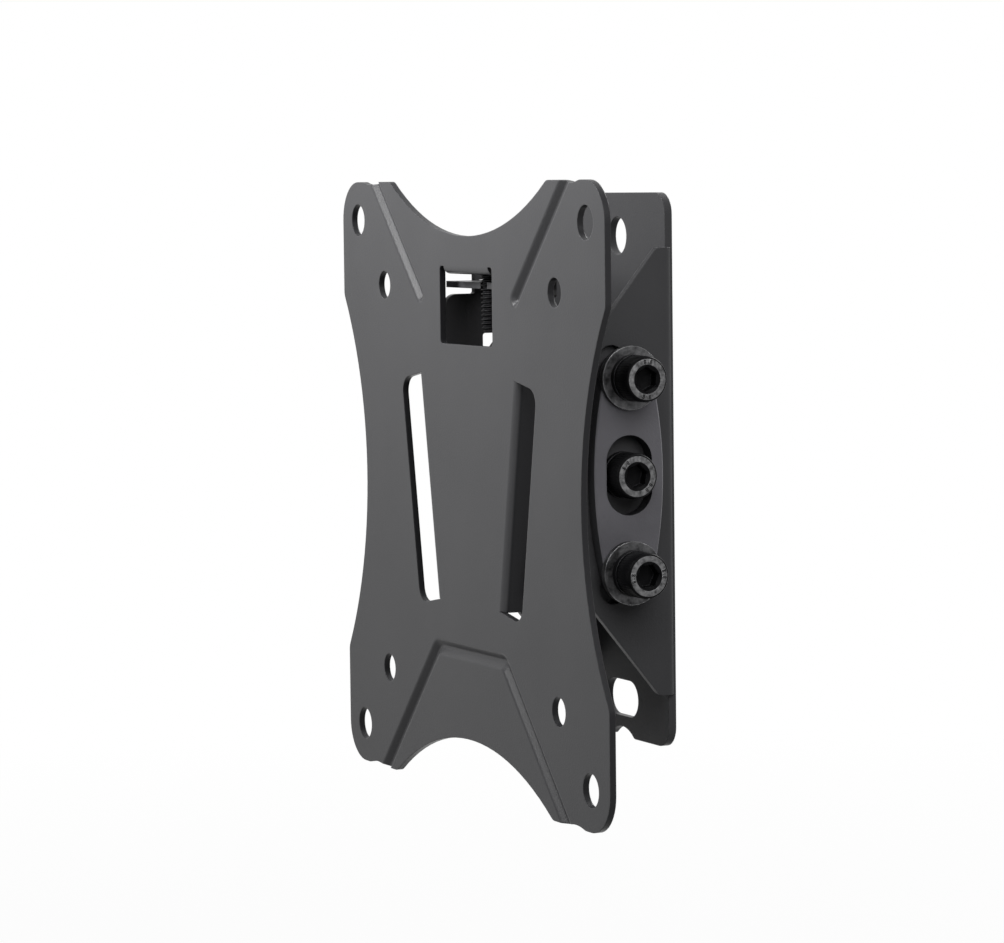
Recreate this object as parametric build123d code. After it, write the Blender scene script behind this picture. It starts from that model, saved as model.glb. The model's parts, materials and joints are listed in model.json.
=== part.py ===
from build123d import *
from math import atan2, cos, degrees, dist, hypot, radians, sin, sqrt
import os

# Tilting wall bracket for a small television.
# Frame: X to the right seen from the front, Y back towards the wall, Z up.
# The origin is the centre of the television hole pattern, on the front face of the front plate.

# Front plate: a pressed sheet with two screen hole patterns
plate_size = 115.0
plate_sheet = 1.2
plate_corner_radius = 7.5
side_scoop_radius = 66.0
side_scoop_depth = 10.2
end_scoop_radius = 63.5
end_scoop_depth = 10.25
scoop_blend_radius = 2.5
edge_dip_place = 0.61
edge_dip_share = 0.47
edge_dip_depth = 0.55
edge_dip_blend_radius = 4.0
wide_pattern = 100.0
wide_hole_radius = 3.1
narrow_pattern = 75.0
narrow_hole_radius = 2.7
plate_bend_radius = 0.3

# Stiffening beads, pressed back from the front face
bead_half_width = 1.5
bead_floor_half_width = 0.3
bead_depth = 1.0
bead_shoulder_radius = 0.8
bead_floor_radius = 0.5
bead_knee_radius = 3.0
upper_bead_top = (42.0, 57.5)
upper_bead_end = (21.0, 36.0)
lower_bead_foot = (40.0, -57.5)
lower_bead_knee = (14.8, -31.0)

# Window in the front plate, with its tongue bent back into a hook
window_half_width = 11.5
window_bottom = 26.95
window_top = 40.1
window_relief_width = 1.8
window_corner_radius = 0.8
hook_drop = 2.2
hook_hole_radius = 2.75

# Slanted slots in the front plate, each with its tongue bent straight back
slot_top = (21.9, 20.9)
slot_bottom = (14.6, -22.0)
slot_width = 8.0
slot_corner_radius = 3.0
tongue_reach = 7.4
tongue_end_gap = 0.1

# Wall bracket: a channel with its back on the wall
wall_sheet = 1.5
wall_half_width = 20.0
wall_back = 33.4
wall_half_height = 51.85
wall_ear_inset = 0.8
wall_corner_radius = 4.0
wall_bend_radius = 0.5
flange_half_height = 41.7
flange_land = 2.2
flange_front = 12.6
flange_front_half_height = 20.7
flange_corner_radius = 1.5
wall_hole_z = 46.8
wall_hole_radius = 3.6
wall_slot_z = -41.3
wall_slot_length = 13.4
wall_slot_width = 7.0
wall_notch_half_width = 4.9
wall_notch_depth = 1.9

# Tilt about a line in front of the plate, at the height of the middle screws
mid_z = 3.1
pivot_y = -10.0
tilt_limit = 5.0
slot_end_play = 0.5

# Screws, nuts and washers
screw_y = 22.1
screw_pitch = 18.0
screw_radius = 2.5
screw_head_radius = 4.25
screw_head_height = 5.0
screw_head_edge = 0.4
socket_across_flats = 4.0
socket_depth = 2.6
outer_screw_length = 16.0
middle_screw_length = 12.0
thread_chamfer = 0.5
spring_washer_radius = 4.3
spring_washer_thickness = 1.3
spring_washer_split = 0.5
spring_washer_lean = 25.0
flat_washer_radius = 5.9
flat_washer_thickness = 1.2
washer_hole_radius = 2.6
nut_across_flats = 8.0
nut_height = 4.0
nut_bevel = 0.5

# Side plates that clamp the flanges
side_plate_thickness = 3.0
side_plate_half_width = 7.1
side_plate_end_radius = 4.9
side_plate_edge = 0.3
head_window_width = 9.4
head_window_height = 14.8

# Tilt bracket: a channel that carries the front plate between the flanges
tilt_sheet = 1.5
tilt_bend_radius = 0.5
ear_front = 3.65
ear_foot_front = 5.2
ear_top = 36.0
ear_shoulder_radius = 2.4
ear_foot_radius = 2.0
ear_edge_radius = 0.8
ear_inner_radius = 0.5
ear_rim = 6.6
ear_saddle_rise = 3.4
post_front = 9.85
post_back = 15.0
post_top = 40.6
post_foot = 28.4
neck_back = 11.4
notch_back = 8.6
web_top = 25.0
web_relief = 0.6

# Cross bar between the posts, and the locking screw through the hook
bar_sheet = 1.2
bar_top = 38.55
bar_front = 3.8
bar_back = 10.0
bar_wing_back = 13.7
bar_wing_inner = 11.2
bar_tenon_front = 10.9
lock_screw_y = 5.93
lock_screw_length = 12.0

# Clearances
slide_gap = 0.05
thread_gap = 0.03
shank_gap = 0.3
fit_gap = 0.1
tongue_gap = 0.1
hook_gap = 0.3

# Sizes that follow from the ones above
plate_half = plate_size / 2
plate_fold = plate_bend_radius + plate_sheet
bead_reach = bead_half_width + bead_shoulder_radius
wall_front = wall_back - wall_sheet
flange_inner = wall_half_width - wall_sheet
ear_outer = flange_inner - slide_gap
ear_inner = ear_outer - tilt_sheet
side_plate_inner = wall_half_width + slide_gap
side_plate_outer = side_plate_inner + side_plate_thickness
arm_y = screw_y - pivot_y
outer_arc_radius = hypot(arm_y, screw_pitch)
outer_arc_angle = degrees(atan2(screw_pitch, arm_y))
guide_width = 2 * (screw_radius + shank_gap)
slot_run = slot_top[0] - slot_bottom[0]
slot_rise = slot_top[1] - slot_bottom[1]
slot_length = hypot(slot_run, slot_rise)
slot_lean = degrees(atan2(slot_run, slot_rise))
tongue_wall = plate_sheet / cos(radians(slot_lean))
notch_top = slot_top[1] - (slot_top[0] - tongue_wall - ear_outer - tongue_gap) * slot_rise / slot_run
notch_bottom = slot_top[1] - (slot_top[0] - ear_inner + tongue_gap) * slot_rise / slot_run
web_front = ear_front - tilt_sheet
web_bottom = notch_top + web_relief
ear_bottom = mid_z - screw_pitch - ear_rim
ear_saddle = mid_z + screw_pitch + ear_saddle_rise
hook_half_width = window_half_width - window_relief_width
hook_top = window_top + plate_sheet
lip_front = bar_back + hook_gap
bar_bottom = bar_top - bar_sheet
bar_half_width = ear_inner - fit_gap
screw_heights = {"top": mid_z + screw_pitch, "middle": mid_z, "bottom": mid_z - screw_pitch}


# Sketch planes and small shapes

def back_from(y, depth, sketch):
    """Solid with the outline of a front-view sketch (X, Z), from y back to y + depth."""
    plane = Plane(origin=(0, y, 0), x_dir=(1, 0, 0), z_dir=(0, -1, 0))
    return extrude(plane * sketch, depth, dir=(0, 1, 0))


def across_from(x, depth, sketch):
    """Solid with the outline of a side-view sketch (Y, Z), from x to x + depth."""
    plane = Plane(origin=(x, 0, 0), x_dir=(0, 1, 0), z_dir=(1, 0, 0))
    return extrude(plane * sketch, depth, dir=(1, 0, 0))


def up_from(z, height, sketch):
    """Solid with the outline of a top-view sketch (X, Y), from z to z + height."""
    return extrude(Plane.XY.offset(z) * sketch, height, dir=(0, 0, 1))


def other_side(solid):
    """The mirror image of a piece, on the other side of the bracket."""
    return mirror(solid, about=Plane.YZ)


def area(x0, x1, y0, y1):
    """Rectangle between two edges each way."""
    return Pos((x0 + x1) / 2, (y0 + y1) / 2) * Rectangle(x1 - x0, y1 - y0)


def folded_sheet(points, radius, sheet):
    """Section of a bent sheet: one face follows the points, the other lies to the left of them."""
    return make_face(offset(FilletPolyline(*points, radius=radius), sheet, side=Side.LEFT))


def rounded_near(sketch, points, radius):
    """The sketch with its corners at the listed points rounded."""
    def is_listed(corner):
        return min(hypot(corner.X - x, corner.Y - y) for x, y in points) < 0.01

    return fillet([corner for corner in sketch.vertices() if is_listed(corner)], radius)


def tilt_slot(radius, angle):
    """Side-view slot along a circle about the tilt line, long enough for the whole tilt."""
    half_angle = tilt_limit + degrees(slot_end_play / radius)
    return SlotArc(CenterArc((pivot_y, mid_z), radius, angle - half_angle, 2 * half_angle), guide_width)


# Front plate

def plate_outline():
    """Square with rounded corners, a shallow scoop in each side, and small dips beside the end scoops."""
    outline = RectangleRounded(plate_size, plate_size, plate_corner_radius)
    corners = []
    scoops = (
        (side_scoop_radius, side_scoop_depth, True),
        (end_scoop_radius, end_scoop_depth, False),
    )
    for radius, depth, on_sides in scoops:
        centre = plate_half - depth + radius
        half_chord = sqrt(radius**2 - (radius - depth)**2)
        for way in (-1, 1):
            place = (way * centre, 0) if on_sides else (0, way * centre)
            outline -= Pos(*place) * Circle(radius)
            for side in (-1, 1):
                corner = (way * plate_half, side * half_chord)
                corners.append(corner if on_sides else corner[::-1])
    outline = rounded_near(outline, corners, scoop_blend_radius)
    return with_edge_dips(outline, half_chord)


def with_edge_dips(outline, scoop_end):
    """The outline with its dips in the straight parts between the end scoops and the corners."""
    straight = plate_half - plate_corner_radius - scoop_end
    middle = scoop_end + edge_dip_place * straight
    half_width = edge_dip_share * straight / 2
    radius = (half_width**2 + edge_dip_depth**2) / (2 * edge_dip_depth)
    centre = plate_half - edge_dip_depth + radius
    ends = []
    for side in (-1, 1):
        for way in (-1, 1):
            outline -= Pos(side * middle, way * centre) * Circle(radius)
            ends += [(side * middle + half_width, way * plate_half), (side * middle - half_width, way * plate_half)]
    return rounded_near(outline, ends, edge_dip_blend_radius)


def bead_section():
    """Section of a groove and the space in front of it: sloping walls, rounded shoulders, rounded floor."""
    shoulders = [(way * bead_half_width, 0) for way in (-1, 1)]
    floor = [(way * bead_floor_half_width, bead_depth) for way in (-1, 1)]
    shape = Polygon(
        (-bead_reach, -bead_depth),
        (-bead_reach, 0),
        shoulders[0],
        *floor,
        shoulders[1],
        (bead_reach, 0),
        (bead_reach, -bead_depth),
        align=None,
    )
    shape = rounded_near(shape, shoulders, bead_shoulder_radius)
    return rounded_near(shape, floor, bead_floor_radius)


def bead_start(start, end):
    """Plane across a groove at its start, with its X across the groove and its Y towards the wall."""
    run = (Vector(end[0], 0, end[1]) - Vector(start[0], 0, start[1])).normalized()
    return Plane(origin=(start[0], 0, start[1]), x_dir=(run.Z, 0, -run.X), z_dir=run)


def run_out(start, end):
    """A point far enough past the end for a groove to run out over the edge of the plate."""
    share = 1 + 2 * bead_reach / hypot(end[0] - start[0], end[1] - start[1])
    return tuple(a + share * (b - a) for a, b in zip(start, end))


def upper_bead():
    """Straight groove on the right, from its round end out over the top edge."""
    plane = bead_start(upper_bead_end, upper_bead_top)
    length = dist(upper_bead_end, run_out(upper_bead_end, upper_bead_top))
    half_section = bead_section() & area(0, bead_reach, -bead_depth, bead_depth)
    round_end = revolve(plane * half_section, Axis(plane.origin, (0, 1, 0)), 180)
    return extrude(plane * bead_section(), length, dir=plane.z_dir) + round_end


def lower_bead():
    """Groove from the foot of the plate on the left, across the middle, to its foot on the right."""
    right = [lower_bead_knee, run_out(lower_bead_knee, lower_bead_foot)]
    points = [(-x, z) for x, z in reversed(right)] + right
    path = Plane.XZ * FilletPolyline(*points, radius=bead_knee_radius)
    return sweep(bead_start(*points[:2]) * bead_section(), path)


def screen_holes():
    """The eight holes for the screws of the television."""
    holes = Sketch() + GridLocations(wide_pattern, wide_pattern, 2, 2) * Circle(wide_hole_radius)
    return holes + GridLocations(narrow_pattern, narrow_pattern, 2, 2) * Circle(narrow_hole_radius)


def slanted_slot():
    """Opening on the right, cut back to the bend of its tongue and rounded along its free edge."""
    opening = area(-plate_fold, slot_width, -slot_length, 0)
    opening = rounded_near(opening, [(slot_width, 0), (slot_width, -slot_length)], slot_corner_radius)
    return Pos(*slot_top) * Rot(0, 0, -slot_lean) * opening


def slanted_tongue():
    """Tongue on the right, bent straight back along the inner edge of its slot."""
    line = [
        (-plate_sheet, tongue_reach),
        (-plate_sheet, plate_sheet),
        (-plate_fold - plate_sheet, plate_sheet),
    ]
    section = folded_sheet(line, plate_bend_radius, plate_sheet)
    lean = radians(slot_lean)
    foot = (slot_bottom[0], 0, slot_bottom[1])
    bend_line = Plane(origin=foot, x_dir=(cos(lean), 0, -sin(lean)), z_dir=(sin(lean), 0, cos(lean)))
    return extrude(bend_line.offset(tongue_end_gap) * section, slot_length - 2 * tongue_end_gap, dir=bend_line.z_dir)


def window():
    """Opening round the hook, up to the top of the hook's bend."""
    opening = area(-window_half_width, window_half_width, window_bottom, window_top + plate_fold)
    return fillet(opening.vertices(), window_corner_radius)


def hook():
    """Tongue of the window, bent back over the cross bar and down behind it."""
    line = [
        (0, hook_top + plate_fold),
        (0, window_top),
        (lip_front, window_top),
        (lip_front, window_top - hook_drop),
    ]
    section = folded_sheet(line, (plate_fold, plate_bend_radius), plate_sheet)
    tongue = across_from(-hook_half_width, 2 * hook_half_width, section)
    return tongue - up_from(window_top, plate_sheet, Pos(0, lock_screw_y) * Circle(hook_hole_radius))


def front_plate():
    """Pressed front plate with its beads, screen holes, slots, window, side tongues and hook."""
    outline = plate_outline()
    beads = [lower_bead(), upper_bead(), other_side(upper_bead())]
    plate = back_from(0, plate_sheet, outline) + [Pos(0, plate_sheet, 0) * bead for bead in beads]
    plate &= back_from(0, plate_size, outline)
    plate -= beads
    plate -= back_from(0, plate_sheet, screen_holes() + window())
    slot = back_from(0, plate_sheet, slanted_slot())
    plate -= [slot, other_side(slot)]
    tongue = slanted_tongue()
    return plate + [tongue, other_side(tongue), hook()]


# Wall bracket

def wall_bracket():
    """Channel with its back on the wall and a slotted flange on each side."""
    line = [
        (-flange_inner, flange_front),
        (-flange_inner, wall_front),
        (flange_inner, wall_front),
        (flange_inner, flange_front),
    ]
    section = folded_sheet(line, wall_bend_radius, wall_sheet)
    channel = up_from(mid_z - flange_half_height, 2 * flange_half_height, section)
    channel &= across_from(-wall_half_width, 2 * wall_half_width, flange_outline())
    guides = Sketch() + [tilt_slot(outer_arc_radius, way * outer_arc_angle) for way in (-1, 1)]
    guides += Pos(screw_y, mid_z) * Circle(screw_radius + fit_gap)
    channel -= across_from(-wall_half_width, 2 * wall_half_width, guides)
    channel += back_from(wall_front, wall_sheet, wall_outline())
    fixings = Pos(0, wall_hole_z) * Circle(wall_hole_radius)
    fixings += Pos(0, wall_slot_z) * SlotOverall(wall_slot_length, wall_slot_width)
    return channel - back_from(wall_front, wall_sheet, fixings)


def flange_outline():
    """Side view of a flange: both its ends slope back to the wall."""
    upper = [
        (wall_front - flange_land, flange_half_height),
        (flange_front, flange_front_half_height),
    ]
    lower = [(y, -z) for y, z in reversed(upper)]
    square = [(wall_back, -flange_half_height), (wall_back, flange_half_height)]
    shape = Polygon(*upper, *lower, *square, align=None)
    return Pos(0, mid_z) * rounded_near(shape, upper + lower, flange_corner_radius)


def wall_outline():
    """Front view of the back: rounded corners, and a shallow notch in the middle of its lower edge."""
    half_width = wall_half_width - wall_ear_inset
    shape = RectangleRounded(2 * half_width, 2 * wall_half_height, wall_corner_radius)
    radius = (wall_notch_half_width**2 + wall_notch_depth**2) / (2 * wall_notch_depth)
    shape -= Pos(0, wall_notch_depth - wall_half_height - radius) * Circle(radius)
    corners = [(way * wall_notch_half_width, -wall_half_height) for way in (-1, 1)]
    return Pos(0, mid_z) * rounded_near(shape, corners, wall_corner_radius / 3)


# Tilt bracket

def ear_outline():
    """Side view of an ear: a rim round the outer screws, a notched front and a post for the cross bar."""
    fold_back = ear_front + tilt_bend_radius
    shoulder = (ear_front, ear_top)
    feet = [(ear_foot_front, ear_bottom), (ear_foot_front, notch_bottom)]
    inner_corners = [(post_front, ear_top), (neck_back, post_foot), (neck_back, ear_saddle)]
    edge_corners = [(post_front, post_top), (post_back, post_top), (post_back, post_foot)]
    notch_corners = [(notch_back, notch_bottom), (notch_back, notch_top)]
    shape = Polygon(
        shoulder,
        (post_front, ear_top),
        (post_front, post_top),
        (post_back, post_top),
        (post_back, post_foot),
        (neck_back, post_foot),
        (neck_back, ear_saddle),
        (screw_y, ear_saddle),
        (screw_y, ear_bottom),
        *feet,
        *notch_corners,
        (fold_back, notch_top),
        (fold_back, web_top),
        (ear_front, web_top),
        align=None,
    )
    shape = rounded_near(shape, [shoulder], ear_shoulder_radius)
    shape = rounded_near(shape, feet, ear_foot_radius)
    shape = rounded_near(shape, inner_corners, ear_inner_radius)
    shape = rounded_near(shape, edge_corners + notch_corners, ear_edge_radius)
    rims = [Pos(screw_y, screw_heights[level]) * Circle(ear_rim) for level in ("top", "bottom")]
    return shape + make_hull((Sketch() + rims).edges())


def ear_openings():
    """The ear's two screw holes, the slot for the middle screw and the slot for the tenon of the bar."""
    openings = tilt_slot(arm_y, 0)
    openings += [
        Pos(screw_y, screw_heights[level]) * Circle(screw_radius + fit_gap) for level in ("top", "bottom")
    ]
    tenon = (bar_tenon_front - fit_gap, bar_wing_back + fit_gap, bar_bottom - fit_gap, bar_top + fit_gap)
    return openings + area(*tenon)


def tilt_bracket():
    """Channel between the flanges: a short web in front and an ear on each side."""
    line = [
        (ear_inner, notch_back),
        (ear_inner, ear_front),
        (-ear_inner, ear_front),
        (-ear_inner, notch_back),
    ]
    web = up_from(web_bottom, web_top - web_bottom, folded_sheet(line, tilt_bend_radius, tilt_sheet))
    ear = across_from(ear_inner, tilt_sheet, ear_outline() - ear_openings())
    return web + [ear, other_side(ear)]


def cross_bar():
    """Flat bar between the posts, with a tenon in each of them and a threaded hole in the middle."""
    wing = area(bar_wing_inner, bar_half_width, bar_front, bar_wing_back)
    wing += area(bar_wing_inner, ear_outer, bar_tenon_front, bar_wing_back)
    plan = area(-bar_half_width, bar_half_width, bar_front, bar_back) + [wing, other_side(wing)]
    plan -= Pos(0, lock_screw_y) * Circle(screw_radius + thread_gap)
    return up_from(bar_bottom, bar_sheet, plan)


# Side plate

def side_plate_outline():
    """Long plate with bulging sides that run smoothly into its round ends, round the middle screw."""
    bulge = side_plate_half_width - side_plate_end_radius
    shift = (screw_pitch**2 - bulge**2) / (2 * bulge)
    side_radius = side_plate_half_width + shift
    reach = side_plate_end_radius / (side_radius - side_plate_end_radius)
    touch_y = reach * shift
    touch_z = screw_pitch * (1 + reach)
    tip = screw_pitch + side_plate_end_radius
    sides = [
        ThreePointArc((way * touch_y, way * touch_z), (way * side_plate_half_width, 0), (way * touch_y, -way * touch_z))
        for way in (-1, 1)
    ]
    ends = [
        ThreePointArc((-touch_y, way * touch_z), (0, way * tip), (touch_y, way * touch_z)) for way in (-1, 1)
    ]
    return make_face(sides + ends)


def side_plate():
    """Thick plate on the right, with a tall window round the head of the middle screw."""
    shape = side_plate_outline() - SlotOverall(head_window_height, head_window_width, rotation=90)
    shape -= [Pos(0, way * screw_pitch) * Circle(screw_radius + fit_gap) for way in (-1, 1)]
    plate = across_from(side_plate_inner, side_plate_thickness, Pos(screw_y, mid_z) * shape)
    outer_face = plate.faces().sort_by(Axis.X)[-1]
    return chamfer(outer_face.outer_wire().edges(), side_plate_edge)


# Screws, nuts and washers, standing on z = 0

def cap_screw(length):
    """Socket head cap screw: its head stands on z = 0 and its shank runs down."""
    head = extrude(Circle(screw_head_radius), screw_head_height)
    head = chamfer(head.edges().sort_by(Axis.Z)[-1], screw_head_edge)
    socket = Plane.XY.offset(screw_head_height) * RegularPolygon(socket_across_flats / 2, 6, major_radius=False)
    head -= extrude(socket, -socket_depth)
    shank = extrude(Circle(screw_radius), -length)
    return head + chamfer(shank.edges().sort_by(Axis.Z)[0], thread_chamfer)


def hex_nut():
    """Hexagon nut that hangs below z = 0, with the corners of both its faces bevelled."""
    hexagon = RegularPolygon(nut_across_flats / 2, 6, major_radius=False)
    turned = extrude(Circle(nut_across_flats / sqrt(3)), -nut_height)
    nut = extrude(hexagon, -nut_height) & chamfer(turned.edges().filter_by(GeomType.CIRCLE), nut_bevel)
    return nut - extrude(Circle(screw_radius + thread_gap), -nut_height)


def flat_washer():
    """Plain washer."""
    return extrude(Circle(flat_washer_radius) - Circle(washer_hole_radius), flat_washer_thickness)


def spring_washer():
    """Washer with a slanted split."""
    ring = extrude(Circle(spring_washer_radius) - Circle(washer_hole_radius), spring_washer_thickness)
    knife = Box(2 * spring_washer_radius, spring_washer_split, 3 * spring_washer_thickness)
    return ring - Pos(spring_washer_radius, 0, spring_washer_thickness / 2) * Rot(spring_washer_lean, 0, 0) * knife


def fastener_sets():
    """The screws on the right with their washers and nuts, by name."""
    pieces = {}

    def add(kind, x, piece):
        place = Plane(origin=(x, screw_y, z), x_dir=(0, 1, 0), z_dir=(1, 0, 0))
        pieces[f"{kind}_{level}"] = place.location * piece

    for level, z in screw_heights.items():
        if level == "middle":
            seat = wall_half_width
            add("screw", seat + spring_washer_thickness, cap_screw(middle_screw_length))
            add("nut", ear_inner - slide_gap, hex_nut())
        else:
            seat = side_plate_outer + flat_washer_thickness
            add("screw", seat + spring_washer_thickness, cap_screw(outer_screw_length))
            add("nut", ear_inner, hex_nut())
            add("flat_washer", side_plate_outer, flat_washer())
        add("spring_washer", seat, spring_washer())
    return pieces


# All the pieces

def all_pieces():
    """Every piece of the bracket, by name."""
    pieces = {
        "front_plate": front_plate(),
        "tilt_bracket": tilt_bracket(),
        "cross_bar": cross_bar(),
        "lock_screw": Pos(0, lock_screw_y, hook_top) * cap_screw(lock_screw_length),
        "wall_bracket": wall_bracket(),
    }
    for name, piece in {"side_plate": side_plate(), **fastener_sets()}.items():
        pieces[f"{name}_right"] = piece
        pieces[f"{name}_left"] = other_side(piece)
    return pieces


os.makedirs("parts", exist_ok=True)
for name, piece in all_pieces().items():
    export_step(piece, f"parts/{name}.step")
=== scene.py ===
# %% [markdown]
# # A tilting wall bracket for a small television
# The real object is a little machine of bent sheet steel, painted black, held together by black
# socket head screws. The sheet metal pieces come ready made from the CAD model. In this lesson they
# get a camera, light and paint, and the screws are built again in finer detail, because the CAD
# screws have plain shanks where the real ones have threads.

# %% Load the frame
import bmesh
import bpy
import json
from math import cos, pi, radians, sin, tau
from mathutils import Matrix, Vector


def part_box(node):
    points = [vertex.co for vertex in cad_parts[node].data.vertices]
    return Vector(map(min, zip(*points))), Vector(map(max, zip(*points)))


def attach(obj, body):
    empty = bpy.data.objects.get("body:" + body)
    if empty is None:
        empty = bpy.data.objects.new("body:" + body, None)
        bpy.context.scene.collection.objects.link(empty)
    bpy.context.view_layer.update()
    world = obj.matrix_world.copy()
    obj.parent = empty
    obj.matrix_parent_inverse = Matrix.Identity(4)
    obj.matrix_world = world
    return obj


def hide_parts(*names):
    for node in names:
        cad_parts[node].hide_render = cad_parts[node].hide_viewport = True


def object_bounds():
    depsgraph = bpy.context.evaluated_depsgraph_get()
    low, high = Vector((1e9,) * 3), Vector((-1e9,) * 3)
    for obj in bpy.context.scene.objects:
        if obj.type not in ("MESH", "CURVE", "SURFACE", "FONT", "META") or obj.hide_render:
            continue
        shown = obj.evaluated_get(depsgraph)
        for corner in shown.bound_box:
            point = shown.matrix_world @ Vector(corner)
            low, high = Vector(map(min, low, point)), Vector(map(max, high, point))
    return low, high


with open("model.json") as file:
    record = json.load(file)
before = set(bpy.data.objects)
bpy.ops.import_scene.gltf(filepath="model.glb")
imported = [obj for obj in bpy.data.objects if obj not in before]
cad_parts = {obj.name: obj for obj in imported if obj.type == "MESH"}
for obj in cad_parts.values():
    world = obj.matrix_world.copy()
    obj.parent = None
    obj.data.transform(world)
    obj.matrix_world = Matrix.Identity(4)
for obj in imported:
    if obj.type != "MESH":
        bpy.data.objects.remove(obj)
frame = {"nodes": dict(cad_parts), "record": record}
cad_low, cad_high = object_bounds()
nodes = frame["nodes"]
MM = 0.001
print(len(nodes), "CAD nodes, from", tuple(cad_low), "to", tuple(cad_high))

# %% [markdown]
# ## The camera
# The photograph was taken with a long lens, far to the right of the bracket and slightly above it.
# The place and the focal length were worked out from the two square hole patterns of the front
# plate, whose real sizes are known. The camera turns by three angles: round the object, down, and a
# small roll. Its sensor and focal length are in millimetres, and the rest of the scene in metres.

# %% Camera
CAMERA_PLACE = Vector((0.6607, -0.3058, 0.0575))
CAMERA_TURN, CAMERA_DIP, CAMERA_ROLL = radians(64.66), radians(4.26), radians(-0.69)
SENSOR_WIDTH = 36.0
FOCAL_LENGTH = 140.1
NEAREST_SEEN = 10 * MM

camera_data = bpy.data.cameras.new("camera")
camera_data.sensor_width = SENSOR_WIDTH
camera_data.lens = FOCAL_LENGTH
camera_data.clip_start = NEAREST_SEEN
camera = bpy.data.objects.new("camera", camera_data)
turn = Matrix.Rotation(CAMERA_TURN, 4, "Z") @ Matrix.Rotation(pi / 2 - CAMERA_DIP, 4, "X")
camera.matrix_world = Matrix.Translation(CAMERA_PLACE) @ turn @ Matrix.Rotation(CAMERA_ROLL, 4, "Z")
bpy.context.scene.collection.objects.link(camera)
bpy.context.scene.camera = camera
bpy.context.scene.view_settings.view_transform = "Standard"
looks_along = camera.matrix_world.to_3x3() @ Vector((0, 0, -1))
print("camera looks along", tuple(round(v, 3) for v in looks_along))

# %% [markdown]
# ## Helpers for node trees
# A material is a small network of nodes. Two helpers keep the code readable: one adds a node and
# sets its plain values, the other starts a material that has only its output node.

# %% Node helpers
def add_node(tree, kind, place, **values):
    """Adds a node; values name its properties, or its input sockets with spaces as underscores."""
    node = tree.nodes.new(kind)
    node.location = place
    for name, value in values.items():
        if hasattr(node, name):
            setattr(node, name, value)
        else:
            node.inputs[name.replace("_", " ")].default_value = value
    return node


def new_material(name):
    """A material with an empty node tree and its output node."""
    material = bpy.data.materials.new(name)
    material.use_nodes = True
    material.node_tree.nodes.clear()
    return material, add_node(material.node_tree, "ShaderNodeOutputMaterial", (900, 0))


# %% [markdown]
# ## Floor, backdrop and light
# The photograph shows the bracket on plain white. The world is white to the camera and to the
# gloss of the paint, where a strength of 1 is plain white, and gives only a weak light to everything
# else. The floor lies 10 cm below the bracket, pale and plain, so that only a faint shadow shows.
# Close by it is a touch darker than the backdrop, and further off the two run into one white.

# %% World
WHITE = (1, 1, 1, 1)
PLAIN_STRENGTH = 1.0
AMBIENT_LIGHT = 0.05
NODE_STEP = 200


def is_seen_or_mirrored(tree, place):
    """A value that is 1 for rays from the camera, from gloss and through glass, and 0 for the rest."""
    light_path = add_node(tree, "ShaderNodeLightPath", place)
    total = light_path.outputs["Is Camera Ray"]
    for step, name in enumerate(("Is Glossy Ray", "Is Transmission Ray"), start=1):
        larger = add_node(
            tree, "ShaderNodeMath", (place[0] + NODE_STEP * step, place[1]), operation="MAXIMUM")
        tree.links.new(total, larger.inputs[0])
        tree.links.new(light_path.outputs[name], larger.inputs[1])
        total = larger.outputs[0]
    return total


world = bpy.data.worlds.new("studio")
bpy.context.scene.world = world
world.use_nodes = True
world_tree = world.node_tree
world_tree.nodes.clear()
world_output = add_node(world_tree, "ShaderNodeOutputWorld", (600, 0))
ambient = add_node(
    world_tree, "ShaderNodeBackground", (200, 100), Color=WHITE, Strength=AMBIENT_LIGHT)
backdrop = add_node(
    world_tree, "ShaderNodeBackground", (200, -100), Color=WHITE, Strength=PLAIN_STRENGTH)
choice = add_node(world_tree, "ShaderNodeMixShader", (400, 0))
world_tree.links.new(is_seen_or_mirrored(world_tree, (-500, 200)), choice.inputs[0])
world_tree.links.new(ambient.outputs[0], choice.inputs[1])
world_tree.links.new(backdrop.outputs[0], choice.inputs[2])
world_tree.links.new(choice.outputs[0], world_output.inputs[0])
print("ambient light", AMBIENT_LIGHT)

# %% Floor
FLOOR_DROP = 0.10
FLOOR_HALF = 3.0
FLOOR_GREY = (0.30, 0.30, 0.30, 1)
FADE_NEAR, FADE_FAR = 0.1, 0.8
NEAR_GLOW = 0.94

floor_mesh = bpy.data.meshes.new("floor")
floor_z = cad_low.z - FLOOR_DROP
floor_mesh.from_pydata(
    [(x * FLOOR_HALF, y * FLOOR_HALF, floor_z) for x, y in ((-1, -1), (1, -1), (1, 1), (-1, 1))],
    [], [(0, 1, 2, 3)])
floor = bpy.data.objects.new("floor", floor_mesh)
bpy.context.scene.collection.objects.link(floor)

floor_material, floor_output = new_material("pale_floor")
floor_tree = floor_material.node_tree
floor_paint = add_node(floor_tree, "ShaderNodeBsdfDiffuse", (200, 100), Color=FLOOR_GREY)
floor_glow = add_node(
    floor_tree, "ShaderNodeEmission", (200, -100), Color=WHITE, Strength=PLAIN_STRENGTH)
floor_choice = add_node(floor_tree, "ShaderNodeMixShader", (600, 0))
floor_place = add_node(floor_tree, "ShaderNodeTexCoord", (-700, 600))
floor_far = add_node(floor_tree, "ShaderNodeVectorMath", (-500, 600), operation="LENGTH")
floor_fade = add_node(
    floor_tree, "ShaderNodeMapRange", (-300, 600),
    From_Min=FADE_NEAR, From_Max=FADE_FAR, To_Min=NEAR_GLOW, To_Max=1.0)
floor_tree.links.new(floor_place.outputs["Object"], floor_far.inputs[0])
floor_tree.links.new(floor_far.outputs["Value"], floor_fade.inputs["Value"])
floor_share = add_node(floor_tree, "ShaderNodeMath", (200, 300), operation="MULTIPLY")
floor_tree.links.new(floor_fade.outputs["Result"], floor_share.inputs[1])
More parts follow.
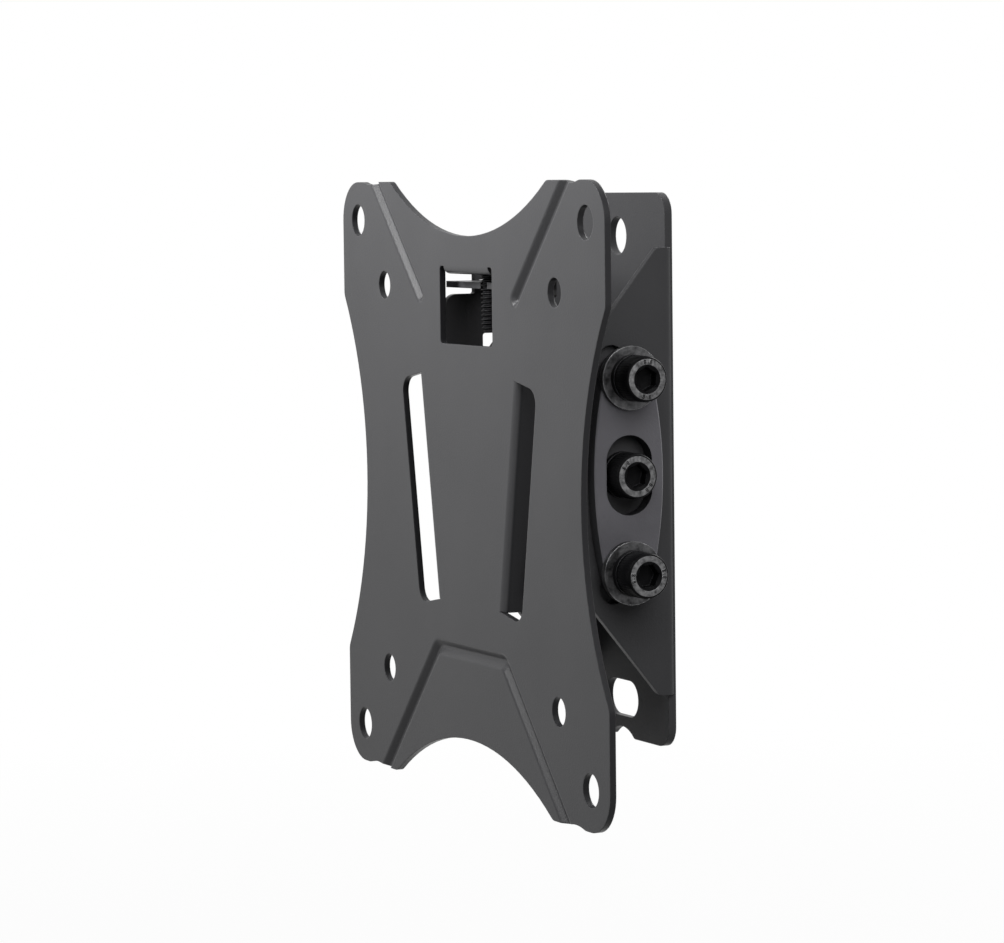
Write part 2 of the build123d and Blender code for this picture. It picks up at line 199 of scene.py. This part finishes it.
floor_tree.links.new(is_seen_or_mirrored(floor_tree, (-500, 300)), floor_share.inputs[0])
floor_tree.links.new(floor_share.outputs[0], floor_choice.inputs[0])
floor_tree.links.new(floor_paint.outputs[0], floor_choice.inputs[1])
floor_tree.links.new(floor_glow.outputs[0], floor_choice.inputs[2])
floor_tree.links.new(floor_choice.outputs[0], floor_output.inputs[0])
floor_mesh.materials.append(floor_material)
print("floor at z =", round(floor_z, 4))

# %% [markdown]
# ## Lamps
# A soft lamp hangs close by, in front of the plate and above it. Because it is near, the top of the
# plate gets more of it than the foot, and the plate falls smoothly from light to dark. It stands
# where the upper left groove mirrors it, so that the groove shines, and it points above the bracket,
# which leaves the foot darker. A second lamp does the same for the lower right groove, and points at
# the plate. A third, on the right, lights the side and picks out the rims of the screws and washers.
# The last lights the back, which the photograph doesn't show.

# %% Lamps
def soft_lamp(name, place, target, size, power):
    """An area lamp that points at a target."""
    data = bpy.data.lights.new(name, "AREA")
    data.shape = "DISK"
    data.size = size
    data.energy = power
    lamp = bpy.data.objects.new(name, data)
    lamp.location = place
    lamp.rotation_euler = (Vector(target) - Vector(place)).to_track_quat("-Z", "Y").to_euler()
    bpy.context.scene.collection.objects.link(lamp)


# name, place and target in metres, width in metres, power in watts
LAMPS = (
    ("key_lamp", (-0.06, -0.165, 0.182), (0, 0, 0.26), 0.10, 1.15),
    ("groove_lamp", (-0.02, -0.23, 0.139), (0, 0, 0), 0.08, 0.31),
    ("side_lamp", (0.28, -0.01, 0.19), (0, 0.02, 0.01), 0.28, 0.78),
    ("back_lamp", (-0.15, 0.50, 0.35), (0, 0.03, 0), 0.40, 4.2),
)
for lamp_row in LAMPS:
    soft_lamp(*lamp_row)
print("lamps:", ", ".join(lamp_row[0] for lamp_row in LAMPS))

# %% [markdown]
# ## Worn edges, with a painted highlight
# Paint is thinnest on edges, and handling polishes them, so they catch the light. On the painted
# sheet metal the lighter edge colour is also a painted highlight along the rims. The Bevel node gives
# the normal that the surface would have with rounded edges. Where it differs much from the true
# normal there is an edge: the wear starts at one cosine of the angle between the two, and is full at
# a lower one. The shallow turns of the grooves don't count. The rounded normal goes out as well, so
# that every cut edge looks slightly soft. Each finish uses this effect, so it is a node group of its
# own.

# %% Edge group
EDGE_REACH = 0.3 * MM
EDGE_BREAKUP = 0.6
EDGE_STARTS, EDGE_FULL = 0.93, 0.72
PATCH_SCALE = 900.0
PATCH_LOW, PATCH_HIGH = 0.35, 0.65


def group_with(name, inputs, outputs):
    """A shader node group with named float inputs (name, default) and named outputs (name, type)."""
    tree = bpy.data.node_groups.new(name, "ShaderNodeTree")
    for socket_name, value in inputs:
        socket = tree.interface.new_socket(socket_name, in_out="INPUT", socket_type="NodeSocketFloat")
        socket.default_value = value
    for socket_name, kind in outputs:
        tree.interface.new_socket(socket_name, in_out="OUTPUT", socket_type=kind)
    inside = add_node(tree, "NodeGroupInput", (-900, 0))
    outside = add_node(tree, "NodeGroupOutput", (900, 0))
    return tree, inside, outside


edge_group, edge_in, edge_out = group_with(
    "worn_edges",
    (("Reach", EDGE_REACH), ("Breakup", EDGE_BREAKUP)),
    (("Mask", "NodeSocketFloat"), ("Normal", "NodeSocketVector")))
link = edge_group.links.new
edge_bevel = add_node(edge_group, "ShaderNodeBevel", (-600, 200), samples=6)
edge_normal = add_node(edge_group, "ShaderNodeNewGeometry", (-600, 0))
edge_dot = add_node(edge_group, "ShaderNodeVectorMath", (-400, 100), operation="DOT_PRODUCT")
edge_ramp = add_node(
    edge_group, "ShaderNodeMapRange", (-200, 100), From_Min=EDGE_STARTS, From_Max=EDGE_FULL)
edge_place = add_node(edge_group, "ShaderNodeTexCoord", (-900, -300))
edge_noise = add_node(
    edge_group, "ShaderNodeTexNoise", (-600, -300), Scale=PATCH_SCALE, Detail=3.0)
edge_patch = add_node(
    edge_group, "ShaderNodeMapRange", (-300, -300), From_Min=PATCH_LOW, From_Max=PATCH_HIGH)
edge_full = add_node(edge_group, "ShaderNodeMix", (0, -200), data_type="FLOAT")
edge_mask = add_node(edge_group, "ShaderNodeMath", (300, 0), operation="MULTIPLY")
link(edge_in.outputs["Reach"], edge_bevel.inputs["Radius"])
link(edge_bevel.outputs["Normal"], edge_dot.inputs[0])
link(edge_normal.outputs["Normal"], edge_dot.inputs[1])
link(edge_dot.outputs["Value"], edge_ramp.inputs["Value"])
link(edge_place.outputs["Object"], edge_noise.inputs["Vector"])
link(edge_noise.outputs["Fac"], edge_patch.inputs["Value"])
link(edge_in.outputs["Breakup"], edge_full.inputs["Factor"])
edge_full.inputs["A"].default_value = 1.0
link(edge_patch.outputs["Result"], edge_full.inputs["B"])
link(edge_ramp.outputs["Result"], edge_mask.inputs[0])
link(edge_full.outputs["Result"], edge_mask.inputs[1])
link(edge_mask.outputs["Value"], edge_out.inputs["Mask"])
link(edge_bevel.outputs["Normal"], edge_out.inputs["Normal"])
print("group", edge_group.name, "with", len(edge_group.nodes), "nodes")

# %% [markdown]
# ## Fine grain
# Powder paint dries with a fine pebbled skin. Up close it is a bump a fraction of a millimetre
# wide, and further off it shows as slow changes of gloss. The group has a fine and a coarse
# noise, and puts out the fine one as a height for the bump and the coarse one as a cloud for colour
# and gloss.

# %% Grain group
GRAIN_SCALE = 2600.0
CLOUD_SCALE = 45.0

grain_group, grain_in, grain_out = group_with(
    "powder_grain",
    (("Grain Scale", GRAIN_SCALE), ("Cloud Scale", CLOUD_SCALE)),
    (("Height", "NodeSocketFloat"), ("Cloud", "NodeSocketFloat")))
link = grain_group.links.new
grain_place = add_node(grain_group, "ShaderNodeTexCoord", (-900, 300))
grain_fine = add_node(grain_group, "ShaderNodeTexNoise", (-500, 300), Detail=2.0, Roughness=0.6)
grain_cloud = add_node(grain_group, "ShaderNodeTexNoise", (-500, -100), Detail=4.0, Roughness=0.55)
link(grain_place.outputs["Object"], grain_fine.inputs["Vector"])
link(grain_place.outputs["Object"], grain_cloud.inputs["Vector"])
link(grain_in.outputs["Grain Scale"], grain_fine.inputs["Scale"])
link(grain_in.outputs["Cloud Scale"], grain_cloud.inputs["Scale"])
link(grain_fine.outputs["Fac"], grain_out.inputs["Height"])
link(grain_cloud.outputs["Fac"], grain_out.inputs["Cloud"])
print("group", grain_group.name, "with", len(grain_group.nodes), "nodes")

# %% [markdown]
# ## Painted shade on cut edges
# The outlines of the sheet and the walls of its holes get a darker colour than the faces: painted
# shade, standing in for the shade that falls on them. A face of the sheet looks along its thickness,
# and a cut edge looks across it. The group compares the two directions by their cosine. On a bent
# sheet it has to stop before the bend, so it also takes a limit towards the back.

# %% Cut edge shade group
CUT_STARTS, CUT_FULL = 0.55, 0.30

cut_shade_group, cut_in, cut_out = group_with(
    "cut_edges",
    (("Thick X", 0.0), ("Thick Y", 1.0), ("Back Limit", 1.0)),
    (("Mask", "NodeSocketFloat"),))
link = cut_shade_group.links.new
cut_place = add_node(cut_shade_group, "ShaderNodeTexCoord", (-900, 300))
cut_normal = add_node(cut_shade_group, "ShaderNodeSeparateXYZ", (-700, 400))
cut_point = add_node(cut_shade_group, "ShaderNodeSeparateXYZ", (-700, 100))
link(cut_place.outputs["Normal"], cut_normal.inputs[0])
link(cut_place.outputs["Object"], cut_point.inputs[0])
cut_along = []
for row, axis in enumerate("XY"):
    size = add_node(cut_shade_group, "ShaderNodeMath", (-500, 500 - 200 * row), operation="ABSOLUTE")
    share = add_node(cut_shade_group, "ShaderNodeMath", (-300, 500 - 200 * row), operation="MULTIPLY")
    link(cut_normal.outputs[axis], size.inputs[0])
    link(size.outputs[0], share.inputs[0])
    link(cut_in.outputs[f"Thick {axis}"], share.inputs[1])
    cut_along.append(share.outputs[0])
cut_most = add_node(cut_shade_group, "ShaderNodeMath", (-100, 400), operation="MAXIMUM")
cut_across = add_node(
    cut_shade_group, "ShaderNodeMapRange", (100, 400), From_Min=CUT_STARTS, From_Max=CUT_FULL)
cut_front = add_node(cut_shade_group, "ShaderNodeMath", (100, 100), operation="LESS_THAN")
cut_shade_mask = add_node(cut_shade_group, "ShaderNodeMath", (400, 200), operation="MULTIPLY")
link(cut_along[0], cut_most.inputs[0])
link(cut_along[1], cut_most.inputs[1])
link(cut_most.outputs[0], cut_across.inputs["Value"])
link(cut_point.outputs["Y"], cut_front.inputs[0])
link(cut_in.outputs["Back Limit"], cut_front.inputs[1])
link(cut_across.outputs["Result"], cut_shade_mask.inputs[0])
link(cut_front.outputs[0], cut_shade_mask.inputs[1])
link(cut_shade_mask.outputs[0], cut_out.inputs["Mask"])
print("group", cut_shade_group.name, "with", len(cut_shade_group.nodes), "nodes")

# %% [markdown]
# ## Powder coat and blackened steel
# The sheet metal wears a satin black powder coat. The screws and washers are blackened steel,
# which is metal with a thin dark skin, so its worn edges turn bright and metallic. Both finishes
# are the same network with other values, so one function makes them. The flat punched pieces add
# painted shade on their cut edges to the network.

# %% Finish
def mix_colours(tree, place, mask, low, high):
    """A colour between low and high, by a mask."""
    mix = add_node(tree, "ShaderNodeMix", place, data_type="RGBA")
    tree.links.new(mask, mix.inputs["Factor"])
    for socket, colour in ((mix.inputs[6], low), (mix.inputs[7], high)):
        if isinstance(colour, tuple):
            socket.default_value = (*colour, 1)
        else:
            tree.links.new(colour, socket)
    return mix.outputs[2]


def spread(tree, place, mask, low, high):
    """A value between low and high, by a mask."""
    ramp = add_node(tree, "ShaderNodeMapRange", place, To_Min=low, To_Max=high)
    tree.links.new(mask, ramp.inputs["Value"])
    return ramp.outputs["Result"]


# Painted shade: the dark colour of cut edges and hole walls.
CUT_EDGE_SHADE = (0.026, 0.026, 0.028)
CLOUD_LOW, CLOUD_HIGH = 0.3, 0.7


def make_finish(
        name, dark, light, edge_colour, gloss, edge_gloss, metal, grain, shine,
        cloud_scale=CLOUD_SCALE, sheet=None):
    """A dark finish: clouded colour, grain bump, and edges with their own colour and gloss.

    gloss and metal are pairs, for the two ends of their masks. grain is the scale, the strength and
    the height in metres of the bump. sheet gives the group of painted shade on cut edges its
    values, for a piece cut from sheet.
    """
    material, output = new_material(name)
    tree = material.node_tree
    surface = add_node(tree, "ShaderNodeBsdfPrincipled", (600, 0), Specular_IOR_Level=shine)
    edges = add_node(
        tree, "ShaderNodeGroup", (-600, 200),
        node_tree=edge_group, Reach=EDGE_REACH, Breakup=EDGE_BREAKUP)
    skin = add_node(
        tree, "ShaderNodeGroup", (-600, -100),
        node_tree=grain_group, Grain_Scale=grain[0], Cloud_Scale=cloud_scale)
    cloud = add_node(
        tree, "ShaderNodeMapRange", (-400, -100), From_Min=CLOUD_LOW, From_Max=CLOUD_HIGH)
    tree.links.new(skin.outputs["Cloud"], cloud.inputs["Value"])
    body_colour = mix_colours(tree, (-100, 200), cloud.outputs["Result"], dark, light)
    # For punched pieces, painted shade darkens the cut edges and the hole walls.
    if sheet:
        cut = add_node(tree, "ShaderNodeGroup", (-300, 500), node_tree=cut_shade_group, **sheet)
        body_colour = mix_colours(tree, (50, 400), cut.outputs["Mask"], body_colour, CUT_EDGE_SHADE)
    colour = mix_colours(tree, (200, 200), edges.outputs["Mask"], body_colour, edge_colour)
    tree.links.new(colour, surface.inputs["Base Color"])
    body_gloss = spread(tree, (-100, -50), cloud.outputs["Result"], *gloss)
    worn_gloss = add_node(tree, "ShaderNodeMix", (200, -50), data_type="FLOAT")
    tree.links.new(edges.outputs["Mask"], worn_gloss.inputs["Factor"])
    tree.links.new(body_gloss, worn_gloss.inputs["A"])
    worn_gloss.inputs["B"].default_value = edge_gloss
    tree.links.new(worn_gloss.outputs["Result"], surface.inputs["Roughness"])
    tree.links.new(spread(tree, (200, -200), edges.outputs["Mask"], *metal), surface.inputs["Metallic"])
    bump = add_node(tree, "ShaderNodeBump", (400, -400), Strength=grain[1], Distance=grain[2])
    tree.links.new(skin.outputs["Height"], bump.inputs["Height"])
    tree.links.new(edges.outputs["Normal"], bump.inputs["Normal"])
    tree.links.new(bump.outputs["Normal"], surface.inputs["Normal"])
    tree.links.new(surface.outputs[0], output.inputs[0])
    return material


# The edge colour of the powder coat is partly paint wear and partly a painted highlight along the rims.
COAT_DARK, COAT_LIGHT, COAT_WORN_AND_HIGHLIT = (0.062, 0.062, 0.065), (0.072, 0.072, 0.075), (0.13, 0.13, 0.135)
WALL_BEND_START = 29.8 * MM


def make_powder_coat(name, shade_factor=1.0, shine=0.09, sheet=None):
    """The satin black paint of the sheet metal; a factor below 1 darkens it, as painted shade."""
    dark, light, worn = [
        tuple(shade_factor * value for value in colour) for colour in (COAT_DARK, COAT_LIGHT, COAT_WORN_AND_HIGHLIT)]
    return make_finish(
        name, dark, light, worn, gloss=(0.28, 0.34), edge_gloss=0.28, metal=(0.0, 0.0),
        grain=(GRAIN_SCALE, 0.55, 0.06 * MM), shine=shine, sheet=sheet)


powder_coat = make_powder_coat("powder_coat")
front_plate_coat = make_powder_coat("front_plate_coat", sheet={"Thick_X": 0.0, "Thick_Y": 1.0})
# Painted shade: the wall bracket gets a darker copy of the same powder coat, for the shade it stands
# in.
wall_bracket_shaded_coat = make_powder_coat(
    "wall_bracket_shaded_coat", shade_factor=0.82, shine=0.05,
    sheet={"Thick_X": 1.0, "Thick_Y": 0.0, "Back_Limit": WALL_BEND_START})
side_plate_coat = make_finish(
    "side_plate_coat", (0.105, 0.103, 0.113), (0.150, 0.147, 0.160), (0.18, 0.18, 0.19),
    gloss=(0.50, 0.60), edge_gloss=0.42, metal=(0.0, 0.0), grain=(1800.0, 0.7, 0.08 * MM), shine=0.15,
    sheet={"Thick_X": 1.0, "Thick_Y": 0.0})
black_steel = make_finish(
    "black_steel", (0.004, 0.004, 0.0045), (0.008, 0.008, 0.0085), (0.10, 0.10, 0.105),
    gloss=(0.30, 0.42), edge_gloss=0.30, metal=(0.0, 0.8), grain=(3200.0, 0.3, 0.03 * MM), shine=0.03)
washer_steel = make_finish(
    "washer_steel", (0.015, 0.015, 0.016), (0.11, 0.11, 0.113), (0.40, 0.40, 0.41),
    gloss=(0.30, 0.44), edge_gloss=0.25, metal=(0.8, 1.0), grain=(1500.0, 0.8, 0.08 * MM), shine=0.2,
    cloud_scale=600.0)
worn_steel = make_finish(
    "worn_steel", (0.035, 0.035, 0.036), (0.17, 0.17, 0.173), (0.46, 0.46, 0.47),
    gloss=(0.36, 0.52), edge_gloss=0.28, metal=(0.9, 1.0), grain=(1500.0, 1.0, 0.10 * MM), shine=0.3,
    cloud_scale=1300.0)
finishes = (
    powder_coat, front_plate_coat, wall_bracket_shaded_coat, side_plate_coat,
    black_steel, washer_steel, worn_steel)
print("finishes:", ", ".join(finish.name for finish in finishes))

# %% Paint the CAD nodes
finish_of_kind = {
    "front_plate": front_plate_coat,
    "wall_bracket": wall_bracket_shaded_coat,
    "side_plate": side_plate_coat,
    "flat_washer": washer_steel,
    "spring_washer": black_steel,
    "nut": black_steel,
}
for name, node in nodes.items():
    kinds = [kind for kind in finish_of_kind if name.startswith(kind)]
    node.data.materials.clear()
    node.data.materials.append(finish_of_kind[kinds[0]] if kinds else powder_coat)
print("painted", len(nodes), "nodes")

# %% [markdown]
# ## Socket head screws
# A real cap screw has a knurled head that fingers can turn, a hexagon socket with a turned mouth,
# and a thread. The thread is a helix: rows of points that climb by one pitch in each turn. A
# single grid of points does it, whose last column joins the first one a whole pitch further on.
# The length and the place come from the CAD node that the screw replaces, and the head and the
# thread keep the sizes given here.

# %% Thread
THREAD_PITCH = 0.8 * MM
THREAD_RADIUS = 2.5 * MM
THREAD_ROOT = 2.05 * MM
THREAD_ROWS = 8
THREAD_SIDES = 40
THREAD_FLAT = 0.15
TIP_CHAMFER = 0.5 * MM


def thread_profile(step):
    """Radius along one pitch: a flat crest, a slope, a flat root and a slope."""
    wave = abs((step / THREAD_ROWS) * 2 - 1)
    rise = min(1.0, max(0.0, (wave - THREAD_FLAT) / (1 - 2 * THREAD_FLAT)))
    return THREAD_ROOT + (THREAD_RADIUS - THREAD_ROOT) * rise


def add_thread(mesh, top, bottom):
    """Threaded shank round the z axis, from top down to bottom."""
    rows = int((top - bottom) / THREAD_PITCH * THREAD_ROWS) + 1 + 2 * THREAD_ROWS
    grid = []
    for row in range(rows):
        ring = []
        for side in range(THREAD_SIDES):
            angle = tau * side / THREAD_SIDES
            z = top - row * THREAD_PITCH / THREAD_ROWS + THREAD_PITCH * side / THREAD_SIDES
            z = min(top, max(bottom, z))
            radius = min(thread_profile(row % THREAD_ROWS), THREAD_RADIUS - TIP_CHAMFER + (z - bottom))
            radius = min(radius, THREAD_RADIUS)
            ring.append(mesh.verts.new((radius * cos(angle), radius * sin(angle), z)))
        grid.append(ring)
    for row in range(rows - 1):
        for side in range(THREAD_SIDES):
            here = grid[row][side], grid[row + 1][side]
            if side + 1 < THREAD_SIDES:
                mesh.faces.new((*here, grid[row + 1][side + 1], grid[row][side + 1]))
            elif row >= THREAD_ROWS:
                mesh.faces.new((*here, grid[row + 1 - THREAD_ROWS][0], grid[row - THREAD_ROWS][0]))
    tip = mesh.verts.new((0, 0, bottom))
    for side in range(THREAD_SIDES):
        after = grid[-1][(side + 1) % THREAD_SIDES]
        mesh.faces.new((grid[-1][side], tip, after))


# %% [markdown]
# The head is turned from one outline, ring by ring. Its side ring is pushed in and out to make the
# knurl, and the rings inside the socket are hexagons. The flat face round the socket is rubbed
# bright, so its faces get a second material.

# %% Head
HEAD_RADIUS = 4.25 * MM
HEAD_HEIGHT = 5.0 * MM
HEAD_EDGE = 0.4 * MM
FACE_DROP = 0.05 * MM
KNURL_TEETH = 48
KNURL_DEPTH = 0.08 * MM
HEAD_SIDES = KNURL_TEETH * 5
SOCKET_FLATS = 4.0 * MM
SOCKET_DEPTH = 2.6 * MM
SOCKET_POINT = 0.4 * MM
MOUTH_RADIUS = 2.7 * MM
BLACK, WORN = 0, 1


def hexagon_radius(angle, flats):
    """Distance from the centre to the side of a hexagon."""
    return flats / 2 / cos((angle + pi / 6) % (pi / 3) - pi / 6)


def head_rings():
    """Rings of the head, from its underside to the floor of its socket.

    Each is a height, a radius by angle, and the finish of the faces up to the next ring.
    """
    def knurl(angle):
        wave = (angle * KNURL_TEETH / tau) % 1
        return HEAD_RADIUS - KNURL_DEPTH * abs(2 * wave - 1)

    def plain(radius):
        return lambda angle: radius

    def socket(angle):
        return hexagon_radius(angle, SOCKET_FLATS)

    face = HEAD_HEIGHT - FACE_DROP
    floor = HEAD_HEIGHT - SOCKET_DEPTH
    side = HEAD_RADIUS - KNURL_DEPTH
    return [
        (0.0, plain(2.0 * MM), BLACK),
        (0.0, plain(side - 0.35 * MM), BLACK),
        (0.05 * MM, plain(side - 0.1 * MM), BLACK),
        (0.35 * MM, plain(side), BLACK),
        (0.45 * MM, knurl, BLACK),
        (face - HEAD_EDGE - 0.35 * MM, knurl, BLACK),
        (face - HEAD_EDGE - 0.22 * MM, plain(side), BLACK),
        (face - HEAD_EDGE * 0.55, plain(side - 0.06 * MM), BLACK),
        (face - HEAD_EDGE * 0.18, plain(side - 0.20 * MM), BLACK),
        (face, plain(side - 0.42 * MM), WORN),
        (face, plain(MOUTH_RADIUS), BLACK),
        (face - 0.4 * MM, socket, BLACK),
        (floor, socket, BLACK),
        (floor - 0.1 * MM, lambda angle: 0.6 * socket(angle), BLACK),
    ]


def add_head(mesh):
    """Knurled head with a hexagon socket, standing on z = 0."""
    profile = head_rings()
    angles = [tau * side / HEAD_SIDES for side in range(HEAD_SIDES)]
    rings = [
        [mesh.verts.new((radius(a) * cos(a), radius(a) * sin(a), z)) for a in angles]
        for z, radius, finish in profile]
    for low, high, (z, radius, finish) in zip(rings, rings[1:], profile):
        for side in range(HEAD_SIDES):
            after = (side + 1) % HEAD_SIDES
            mesh.faces.new((low[side], low[after], high[after], high[side])).material_index = finish
    centre = mesh.verts.new((0, 0, HEAD_HEIGHT - SOCKET_DEPTH - SOCKET_POINT))
    for side in range(HEAD_SIDES):
        mesh.faces.new((rings[-1][side], rings[-1][(side + 1) % HEAD_SIDES], centre))


# %% [markdown]
# Such heads carry their strength grade in small raised figures. Plain eights do, twice, as the grade
# 8.8 is common to all makers. An eight is two small flat rings, so no font is needed. The figures
# take the black finish against the bright face round the socket: painted shade, so that they read
# dark.

# %% Figures
FIGURE_RADIUS = 3.22 * MM
FIGURE_LOOP = 0.23 * MM
FIGURE_STEP = 0.62 * MM
LOOP_OFFSET = 0.2 * MM
LOOP_HOLE = 0.1 * MM
LOOP_SIDES = 12
DOT_RADIUS = 0.1 * MM
DOT_HOLE = 0.02 * MM


def add_loop(mesh, centre, outer, inner):
    """A small raised ring on the face of the head; with a tiny hole it reads as a dot."""
    low, high = HEAD_HEIGHT - 2 * FACE_DROP, HEAD_HEIGHT
    outline = ((outer, low), (outer, high), (inner, high), (inner, low))
    columns = []
    for step in range(LOOP_SIDES):
        angle = tau * step / LOOP_SIDES
        way = Vector((cos(angle), sin(angle), 0))
        columns.append(
            [mesh.verts.new(centre + way * radius + Vector((0, 0, z))) for radius, z in outline])
    for step in range(LOOP_SIDES):
        here, after = columns[step], columns[(step + 1) % LOOP_SIDES]
        for row in range(3):
            corners = (here[row], after[row], after[row + 1], here[row + 1])
            # Painted shade: the raised figures take the black finish so that they read dark on the
            # bright face.
            mesh.faces.new(corners).material_index = BLACK


def add_figures(mesh):
    """The grade in two places, each as an eight, a dot and an eight along the face."""
    for place in (pi / 2, -pi / 2):
        for step in (-1, 0, 1):
            angle = place - step * FIGURE_STEP / FIGURE_RADIUS
            out = Vector((cos(angle), sin(angle), 0))
            if step == 0:
                add_loop(mesh, out * (FIGURE_RADIUS - LOOP_OFFSET), DOT_RADIUS, DOT_HOLE)
            else:
                for way in (-1, 1):
                    add_loop(mesh, out * (FIGURE_RADIUS + way * LOOP_OFFSET), FIGURE_LOOP, LOOP_HOLE)


print("figures", round(2 * (FIGURE_LOOP + LOOP_OFFSET) / MM, 2), "mm high")

# %% [markdown]
# Each screw is made upright and then placed on its axis. The CAD node says where: its box gives
# the centre of the axis, the head's end and the tip's end. Each head is turned by its own angle, in
# degrees, as it was left when it was tightened.

# %% Screws
THREAD_OVERLAP = 0.2 * MM
MERGE_DISTANCE = 1e-7
SHARP_ANGLE = radians(28)


def build_screw(name, length, place, spin):
    """A whole screw at a place (a matrix that takes z to the axis, out of the head)."""
    mesh = bmesh.new()
    add_head(mesh)
    add_figures(mesh)
    add_thread(mesh, THREAD_OVERLAP, -length)
    bmesh.ops.remove_doubles(mesh, verts=mesh.verts, dist=MERGE_DISTANCE)
    bmesh.ops.recalc_face_normals(mesh, faces=mesh.faces)
    mesh.transform(place @ Matrix.Rotation(radians(spin), 4, "Z"))
    data = bpy.data.meshes.new(name)
    mesh.to_mesh(data)
    mesh.free()
    screw = bpy.data.objects.new(name, data)
    bpy.context.scene.collection.objects.link(screw)
    data.materials.append(black_steel)
    data.materials.append(worn_steel)
    data.shade_smooth()
    data.set_sharp_from_angle(angle=SHARP_ANGLE)
    return screw


SPINS = {
    "top_right": 87, "middle_right": 138, "bottom_right": 5,
    "top_left": 50, "middle_left": 21, "bottom_left": 33,
}
LOCK_SPIN = 15
bodies = frame["record"]["behaviour"]["bodies"]
body_of = {node: body for body, members in bodies.items() for node in members}

for spot, spin in SPINS.items():
    node = f"screw_{spot}"
    low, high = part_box(node)
    way = 1 if low.x > 0 else -1
    centre = (low + high) / 2
    head_end = high.x if way > 0 else low.x
    seat = head_end - way * HEAD_HEIGHT
    length = (high.x - low.x) - HEAD_HEIGHT
    aim = Matrix.Translation((seat, centre.y, centre.z)) @ Matrix.Rotation(way * pi / 2, 4, "Y")
    screw = build_screw(f"cap_{node}", length, aim, spin)
    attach(screw, body_of[node])
    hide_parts(node)

low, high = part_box("lock_screw")
centre = (low + high) / 2
upright = Matrix.Translation((centre.x, centre.y, high.z - HEAD_HEIGHT))
lock = build_screw("cap_lock_screw", high.z - low.z - HEAD_HEIGHT, upright, LOCK_SPIN)
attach(lock, body_of["lock_screw"])
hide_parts("lock_screw")
print("built", len(SPINS) + 1, "screws of", len(lock.data.polygons), "faces")
